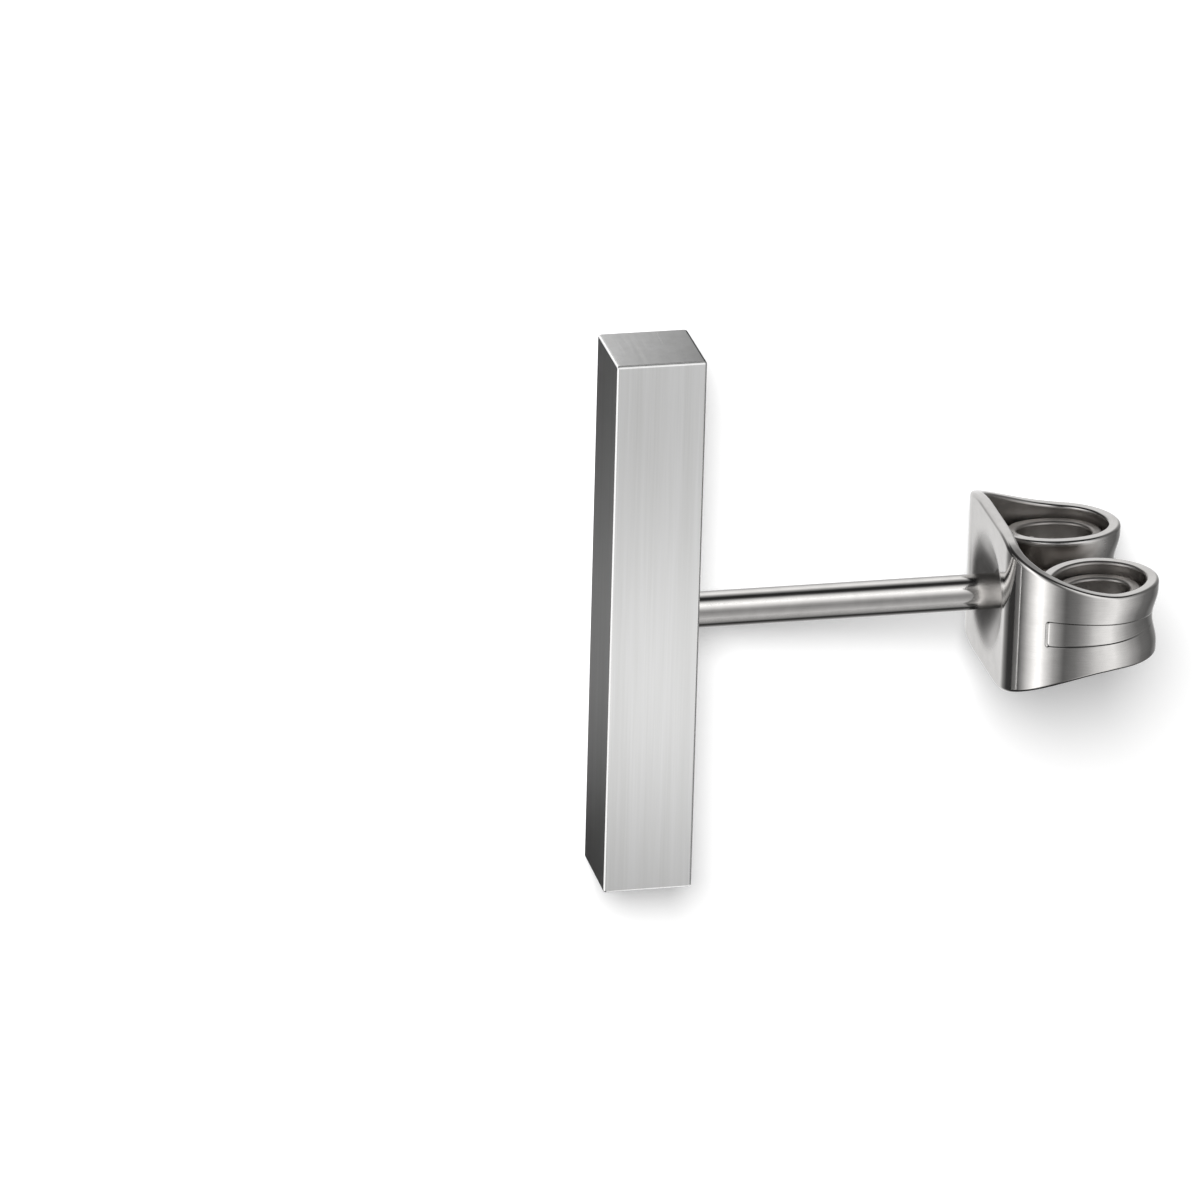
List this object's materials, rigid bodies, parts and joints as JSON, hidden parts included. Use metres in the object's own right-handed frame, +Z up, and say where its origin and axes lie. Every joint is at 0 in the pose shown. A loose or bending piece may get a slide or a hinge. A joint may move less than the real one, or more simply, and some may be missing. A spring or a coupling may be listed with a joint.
{
  "type": "bar stud earring",
  "caption": "Square steel bar stud earring with a straight post and a sliding butterfly clutch, lying on its side.",
  "frame": {"origin": "middle of the footprint, on the surface that the earring lies on", "axes": "+Z up from the surface, +Y along the bar, +X the way the post leads away from the bar; the post itself slopes up by 10.16 degrees towards +X, because the bar's long edge and the clutch's lower scroll carry the earring"},
  "size_m": [0.0124, 0.0126, 0.0057],
  "materials": {
    "brushed_steel": "brushed, with polished edges",
    "polished_steel": "polished"
  },
  "bodies": {
    "stud": {"bar_and_post": "brushed_steel"},
    "clutch": {"butterfly_clutch": "polished_steel"}
  },
  "joints": [
    {"name": "clutch_slide", "type": "slide", "parent": "stud", "child": "clutch", "axis": [0.9843, 0, 0.1765], "range_m": [-0.0066, 0.0045]}
  ]
}
